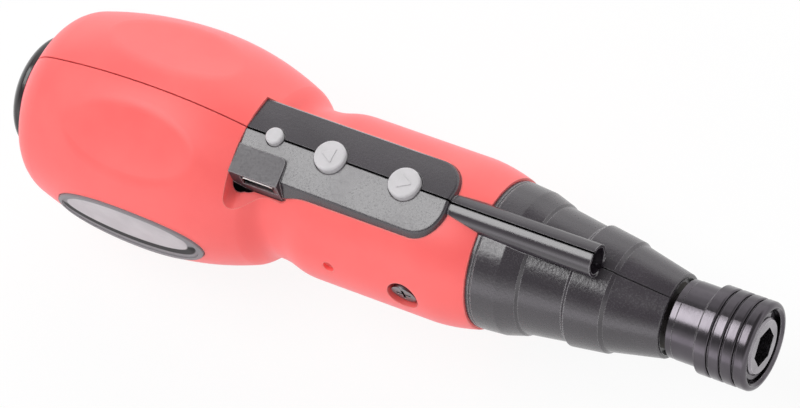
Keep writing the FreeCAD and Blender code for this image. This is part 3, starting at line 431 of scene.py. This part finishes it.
def mouldedHousing():
    look = housingLook
    low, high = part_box("lamp_bulb")
    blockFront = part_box("port_shell")[1].x + look["blockWall"]
    finish = Finish("mouldedHousing", IOR=look["ior"])
    fromTube = (finish.y ** 2 + (finish.z - (low.z + high.z) / 2) ** 2) ** 0.5
    onTube = 1 - fromTube.past(look["tubeRadius"], look["tubeBlur"])
    onTop = finish.z.past(high.z - look["seamDrop"], look["seamFade"])
    # painted shade in the seam groove along the top
    seamShade = (1 - finish.aside.past(look["seamHalf"], look["seamBlur"])) * onTop
    behindFront = 1 - finish.x.past(blockFront, look["blur"])
    onBlock = behindFront * (1 - finish.y.past(look["blockSide"], look["blur"]))
    # painted shade on the housing that shows in the scoop beside the block
    scoopShade = behindFront * (1 - finish.y.past(look["scoopSide"], look["blur"]))
    paintedShade = seamShade + scoopShade
    patch = finish.patches(look["patch"])
    folds = finish.noise(look["fold"], look["foldDetail"], look["foldRoughness"])
    leather = folds + look["pebbleShare"] * finish.cells(look["pebble"])
    specks = finish.noise(look["speck"], look["speckDetail"]).fade(*look["speckLevels"])
    # edges pale for wear and painted highlight, plus a painted highlight on the panel's rounded left edge
    wearGlint = finish.edgesOffSeam(look["round"]) * look["wearGlintShare"] + look["rimHighlight"] * panelRimHighlight(finish, look)
    black = finish.blend(patch, look["deep"], look["light"])
    blackWithWearGlint = finish.blend(wearGlint, black, look["edge"])
    mottle = (look["speckRough"] * specks + look["patchRough"] * patch) * (1 - onTube)
    finish.set(Roughness=look["rough"] + mottle + look["blockRough"] * onBlock)
    # black metal keeps the gloss off the painted shade
    finish.set(Base_Color=finish.blend(paintedShade, blackWithWearGlint, look["paintedShade"]), Metallic=paintedShade)
    return finish.bump(leather * (1 - look["tubeSmooth"] * onTube), look["depth"], look["round"])


# a finish of two tones with fine marks, and edges made pale for wear and a painted glint
def marked(name, look):
    finish = Finish(name, Metallic=look.get("metal", 0.0))
    patch = finish.patches(look["patch"])
    marks = finish.marks(look["marks"], look.get("stretch", (1, 1, 1)))
    wearGlint = finish.edges(look["round"]) * look["wearGlintShare"]
    deep, light, edge = look["tones"]
    finish.colour = finish.blend(wearGlint, finish.blend(patch, deep, light), edge)
    rough = look["rough"] + look["spread"] * (marks - surface["markMean"])
    finish.set(Base_Color=finish.colour, Roughness=rough)
    return finish.bump(marks, look["depth"], look["round"])


capLook = {  # smooth glossy rear cap
    "tones": (rgb(40, 39, 41), rgb(48, 47, 49), rgb(80, 78, 80)),
    "wearGlintShare": 0.4, "rough": 0.14, "spread": 0.06,
    "patch": 7 * mm, "marks": 0.9 * mm, "depth": 0.004 * mm, "round": 0.3 * mm,
}
buttonLook = {  # satin grey keys
    "tones": (rgb(194, 192, 194), rgb(201, 198, 201), rgb(220, 217, 220)),
    "wearGlintShare": 0.5, "rough": 0.38, "spread": 0.12,
    "patch": 2.2 * mm, "marks": 0.25 * mm, "depth": 0.008 * mm, "round": 0.2 * mm,
}
screwLook = {  # zinc on the screw heads
    "tones": (rgb(116, 115, 118), rgb(138, 137, 140), rgb(206, 205, 207)),
    "wearGlintShare": 0.7, "metal": 1.0, "rough": 0.34, "spread": 0.2,
    "patch": 1.1 * mm, "marks": 0.15 * mm, "depth": 0.01 * mm, "round": 0.12 * mm,
}
chuckLook = {  # black oxide on turned steel; the pale edge tone is wear and painted glints on the rib edges
    "tones": (rgb(86, 82, 87), rgb(98, 94, 99), rgb(222, 219, 222)),
    "wearGlintShare": 0.6, "metal": 1.0, "rough": 0.2, "spread": 0.26,
    "patch": 6 * mm, "marks": 0.08 * mm, "stretch": (1, 30, 30),
    "depth": 0.006 * mm, "round": 0.12 * mm,
}
socketLook = {  # bare steel of the spindle
    "tones": (rgb(139, 135, 140), rgb(157, 153, 158), rgb(240, 238, 240)),
    "wearGlintShare": 0.6, "metal": 1.0, "rough": 0.26, "spread": 0.2,
    "patch": 3 * mm, "marks": 0.1 * mm, "stretch": (1, 8, 8),
    "depth": 0.003 * mm, "round": 0.15 * mm,
}
ballLook = {  # polished locking balls and the magnet's plating
    "tones": (rgb(216, 216, 217), rgb(226, 226, 227), rgb(240, 240, 240)),
    "wearGlintShare": 0.4, "metal": 1.0, "rough": 0.12, "spread": 0.08,
    "patch": 1.5 * mm, "marks": 0.2 * mm, "depth": 0.002 * mm, "round": 0.1 * mm,
}
springLook = {  # drawn spring wire
    "tones": (rgb(168, 168, 170), rgb(186, 186, 188), rgb(205, 205, 206)),
    "wearGlintShare": 0.3, "metal": 1.0, "rough": 0.25, "spread": 0.2,
    "patch": 1.6 * mm, "marks": 0.12 * mm, "depth": 0.004 * mm, "round": 0.05 * mm,
}
gearLook = {  # sintered gear steel, oiled
    "tones": (rgb(158, 158, 160), rgb(184, 184, 186), rgb(214, 214, 215)),
    "wearGlintShare": 0.6, "metal": 1.0, "rough": 0.36, "spread": 0.2,
    "patch": 2.4 * mm, "marks": 0.14 * mm, "depth": 0.008 * mm, "round": 0.1 * mm,
}
bushShadeLook = {  # oil-soaked bronze, darkened further as painted shade for the dark gap it shows through
    "tones": (rgb(52, 46, 40), rgb(62, 55, 47), rgb(92, 82, 70)),
    "wearGlintShare": 0.5, "metal": 1.0, "rough": 0.42, "spread": 0.2,
    "patch": 2 * mm, "marks": 0.12 * mm, "depth": 0.01 * mm, "round": 0.15 * mm,
}
nylonLook = {  # grey nylon of the gear case
    "tones": (rgb(138, 138, 139), rgb(150, 150, 150), rgb(176, 176, 176)),
    "wearGlintShare": 0.4, "rough": 0.45, "spread": 0.15,
    "patch": 4 * mm, "marks": 0.4 * mm, "depth": 0.015 * mm, "round": 0.2 * mm,
}
canLook = {  # drawn and zinc-plated motor can
    "tones": (rgb(186, 187, 190), rgb(204, 204, 206), rgb(226, 226, 227)),
    "wearGlintShare": 0.5, "metal": 1.0, "rough": 0.32, "spread": 0.2,
    "patch": 5 * mm, "marks": 0.1 * mm, "stretch": (25, 1, 1),
    "depth": 0.004 * mm, "round": 0.25 * mm,
}
innerLook = {  # black mouldings inside
    "tones": (rgb(44, 44, 45), rgb(54, 54, 54), rgb(84, 84, 84)),
    "wearGlintShare": 0.4, "rough": 0.42, "spread": 0.15,
    "patch": 2 * mm, "marks": 0.25 * mm, "depth": 0.01 * mm, "round": 0.12 * mm,
}
brassLook = {  # stamped contact strips
    "tones": (rgb(206, 186, 132), rgb(222, 204, 152), rgb(238, 226, 184)),
    "wearGlintShare": 0.5, "metal": 1.0, "rough": 0.3, "spread": 0.2,
    "patch": 1.5 * mm, "marks": 0.1 * mm, "stretch": (1, 12, 1),
    "depth": 0.005 * mm, "round": 0.06 * mm,
}
plungerLook = {  # white switch plungers
    "tones": (rgb(222, 222, 219), rgb(231, 231, 228), rgb(242, 242, 240)),
    "wearGlintShare": 0.4, "rough": 0.4, "spread": 0.12,
    "patch": 0.9 * mm, "marks": 0.15 * mm, "depth": 0.006 * mm, "round": 0.1 * mm,
}


# oval plate: grey rim, dark lower border and a bare silver field
plateLook = {
    "border": (1.2 * mm, 1.1 * mm, 0.9 * mm),  # in from the ends, in from top and bottom, and lifted
    "field": (2.6 * mm, 2.0 * mm, 1.6 * mm),
    "ovalBlur": 0.015,
    "borderBlur": 0.8 * mm,
    "rimGrey": rgb(140, 136, 140),
    "black": rgb(34, 31, 34),
    "specular": 0.2,
    "tones": (rgb(190, 184, 188), rgb(200, 194, 198), rgb(222, 218, 220)),
    "wearGlintShare": 0.4, "rough": 0.5, "spread": 0.16,
    "patch": 5 * mm, "marks": 0.1 * mm, "stretch": (20, 1, 1),
    "depth": 0.003 * mm, "round": 0.15 * mm,
}


def ovalPlate():
    look = plateLook
    low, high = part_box("label_plate")
    middle = (low + high) / 2
    half = (high - low) / 2
    finish = marked("ovalPlate", look)

    def inside(ends, sides, lift):  # 1 in an oval set in from the plate's edge and lifted
        along = (finish.x - middle.x) / (half.x - ends)
        up = (finish.z - middle.z - lift) / (half.z - sides)
        return 1 - ((along ** 2 + up ** 2) ** 0.5).fade(1 - look["ovalBlur"], 1 + look["ovalBlur"])

    # dark crescent inside the rim, on the lower half only
    lowerHalf = 1 - finish.z.past(middle.z + look["border"][2], look["borderBlur"])
    onBorder = inside(*look["border"]) * lowerHalf
    plateFace = finish.blend(onBorder, look["rimGrey"], look["black"])
    plateFace = finish.blend(inside(*look["field"]), plateFace, finish.colour)
    return finish.set(Base_Color=plateFace, Specular_IOR_Level=look["specular"])


# charging port's shell, satin, with a highlight painted white on its upper lip
shellLook = {
    "lipHighlight": rgb(240, 239, 238),
    "lip": 0.45 * mm,
    "lipBlur": 0.09 * mm,
    "tones": (rgb(88, 87, 89), rgb(104, 103, 105), rgb(150, 149, 150)),
    "wearGlintShare": 0.5, "metal": 1.0, "rough": 0.34, "spread": 0.2,
    "patch": 1.5 * mm, "marks": 0.1 * mm, "stretch": (1, 12, 1),
    "depth": 0.003 * mm, "round": 0.06 * mm,
}


def portShell():
    look = shellLook
    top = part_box("port_shell")[1].z
    finish = marked("portShell", look)
    lipHighlightMask = finish.z.past(top - look["lip"], look["lipBlur"])
    # the upper lip is painted white and not metal, as a highlight
    return finish.set(Base_Color=finish.blend(lipHighlightMask, finish.colour, look["lipHighlight"]), Metallic=1 - lipHighlightMask)


# leads, red on the right and black on the left
leadLook = {
    "black": rgb(44, 43, 44),
    "blur": 0.1 * mm,
    "tones": (rgb(170, 30, 26), rgb(188, 38, 32), rgb(206, 70, 62)),
    "wearGlintShare": 0.3, "rough": 0.42, "spread": 0.15,
    "patch": 3 * mm, "marks": 0.2 * mm, "depth": 0.008 * mm, "round": 0.05 * mm,
}


def leadSleeve():
    look = leadLook
    finish = marked("leadSleeve", look)
    onLeft = finish.y.fade(-look["blur"], look["blur"])
    return finish.set(Base_Color=finish.blend(onLeft, finish.colour, look["black"]))


# cell: blue wrap drawn over bare metal ends, with a pale ring at the front
cellLook = {
    "bare": rgb(206, 206, 208),
    "pale": rgb(232, 231, 226),
    "rearWrap": (0.125 * mm, 0.25 * mm),  # where the wrap starts, in from either end
    "frontWrap": (0.25 * mm, 0.5 * mm),
    "ring": 1.6 * mm,
    "ringBlur": 0.16 * mm,
    "tones": (rgb(78, 124, 176), rgb(90, 138, 190), rgb(140, 176, 212)),
    "wearGlintShare": 0.3, "rough": 0.28, "spread": 0.12,
    "patch": 8 * mm, "marks": 0.5 * mm, "stretch": (6, 1, 1),
    "depth": 0.012 * mm, "round": 0.25 * mm,
}


def wrappedCell():
    look = cellLook
    low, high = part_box("cell")
    finish = marked("wrappedCell", look)
    fromRear = finish.x - low.x
    fromFront = high.x - finish.x
    atEnds = 2 - fromRear.fade(*look["rearWrap"]) - fromFront.fade(*look["frontWrap"])
    onRing = 1 - fromFront.past(look["ring"], look["ringBlur"])
    wrap = finish.blend(onRing, finish.colour, look["pale"])
    return finish.set(Base_Color=finish.blend(atEnds, wrap, look["bare"]), Metallic=atEnds)


# control board: green mask with tracks, and tinned pads
boardLook = {
    "track": rgb(66, 152, 92),
    "trackPitch": 1.3 * mm,
    "trackShare": 0.4,
    "tin": rgb(206, 207, 208),
    "padPitch": 3.9 * mm,  # along the board, and from row to row
    "rowPitch": 2.6 * mm,
    "padLong": 0.25,       # shares of the pitches
    "padWide": 0.3,
    "tones": (rgb(38, 112, 68), rgb(48, 128, 78), rgb(140, 150, 96)),
    "wearGlintShare": 0.5, "rough": 0.3, "spread": 0.12,
    "patch": 3 * mm, "marks": 0.2 * mm, "depth": 0.006 * mm, "round": 0.1 * mm,
}


def trackedBoard():
    look = boardLook
    finish = marked("trackedBoard", look)
    tracks = finish.y.stripes(look["trackPitch"], look["trackShare"])
    rows = finish.y.stripes(look["rowPitch"], look["padWide"])
    pads = finish.x.stripes(look["padPitch"], look["padLong"]) * rows
    mask = finish.blend(tracks, finish.colour, look["track"])
    return finish.set(Base_Color=finish.blend(pads, mask, look["tin"]), Metallic=pads)


# clear moulded lamp
lampLook = {
    "clear": rgb(246, 247, 250),
    "haze": rgb(226, 230, 238),
    "through": 0.85,
    "ior": 1.49,
    "rough": 0.05,
    "markRough": 0.06,  # added by the marks
    "patch": 2 * mm,
    "marks": 0.3 * mm,
    "markDetail": 2,
    "depth": 0.003 * mm,
    "round": 0.1 * mm,
}


def lampLens():
    look = lampLook
    finish = Finish("lampLens", IOR=look["ior"], Transmission_Weight=look["through"])
    marks = finish.noise(look["marks"], look["markDetail"])
    glass = finish.blend(finish.patches(look["patch"]), look["clear"], look["haze"])
    finish.set(Base_Color=glass, Roughness=look["rough"] + look["markRough"] * marks)
    return finish.bump(marks, look["depth"], look["round"])


slotFinish = {
    "red_grip": redGrip(),
    "black_plastic": mouldedHousing(),
    "plate_metal": ovalPlate(),
    "dark_screw": marked("zincScrew", screwLook),
    "grey_button": marked("satinButton", buttonLook),
    "black_steel": marked("blackSteel", chuckLook),
    "bright_steel": marked("polishedSteel", ballLook),
    "spring_steel": marked("springWire", springLook),
    "gear_steel": marked("gearSteel", gearLook),
    "bush_bronze": marked("bronzeDarkenedForShade", bushShadeLook),
    "gear_nylon": marked("greyNylon", nylonLook),
    "motor_steel": marked("motorCan", canLook),
    "moulded_black": marked("innerMoulding", innerLook),
    "contact_brass": marked("contactBrass", brassLook),
    "lead_sleeve": leadSleeve(),
    "cell_wrap": wrappedCell(),
    "board_green": trackedBoard(),
    "switch_white": marked("whitePlunger", plungerLook),
    "lamp_lens": lampLens(),
}
nodeFinish = {  # pieces that differ from the rest of their slot
    "rear_cap": marked("glossCap", capLook),
    "spindle": marked("bareSteel", socketLook),
    "port_shell": portShell(),
}
for entry in frame["record"]["subparts"]:
    finish = nodeFinish.get(entry["node"], slotFinish[entry["material_slot"]])
    mesh = nodes[entry["node"]].data
    mesh.materials.clear()
    mesh.materials.append(finish.material)
print("finishes set")


# chuck spring: a fixed wire coil, carried with the spindle
coilLook = {"wire": 0.6 * mm, "turns": 3, "steps": 40, "sides": 12, "closed": 0.44}


def springCoil():
    look = coilLook
    low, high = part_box("chuck_spring")
    wire = look["wire"] / 2
    sides = look["sides"]
    radius = (high.y - low.y) / 2 - wire
    span = high.x - low.x - 2 * wire
    count = look["turns"] * look["steps"]
    forward = Vector((1, 0, 0))
    points = []
    faces = []
    for step in range(count + 1):
        turn = math.tau * step / look["steps"]
        out = Vector((0, math.cos(turn), math.sin(turn)))
        middle = (low.x + wire + span * step / count) * forward + radius * out
        for side in range(sides):
            angle = math.tau * side / sides
            points.append(middle + wire * (math.cos(angle) * out + math.sin(angle) * forward))
    for step in range(count):
        for side in range(sides):
            here = step * sides + side
            beside = step * sides + (side + 1) % sides
            faces.append((here, beside, beside + sides, here + sides))
    faces.append(tuple(range(sides)))
    faces.append(tuple(reversed(range(len(points) - sides, len(points)))))
    mesh = bpy.data.meshes.new("springCoil")
    mesh.from_pydata(points, [], faces)
    mesh.shade_smooth()
    item = bpy.data.objects.new("springCoil", mesh)
    bpy.context.scene.collection.objects.link(item)
    mesh.materials.append(slotFinish["spring_steel"].material)
    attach(item, "spindle")
    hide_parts("chuck_spring")
    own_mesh(item)


springCoil()
print("spring wound")
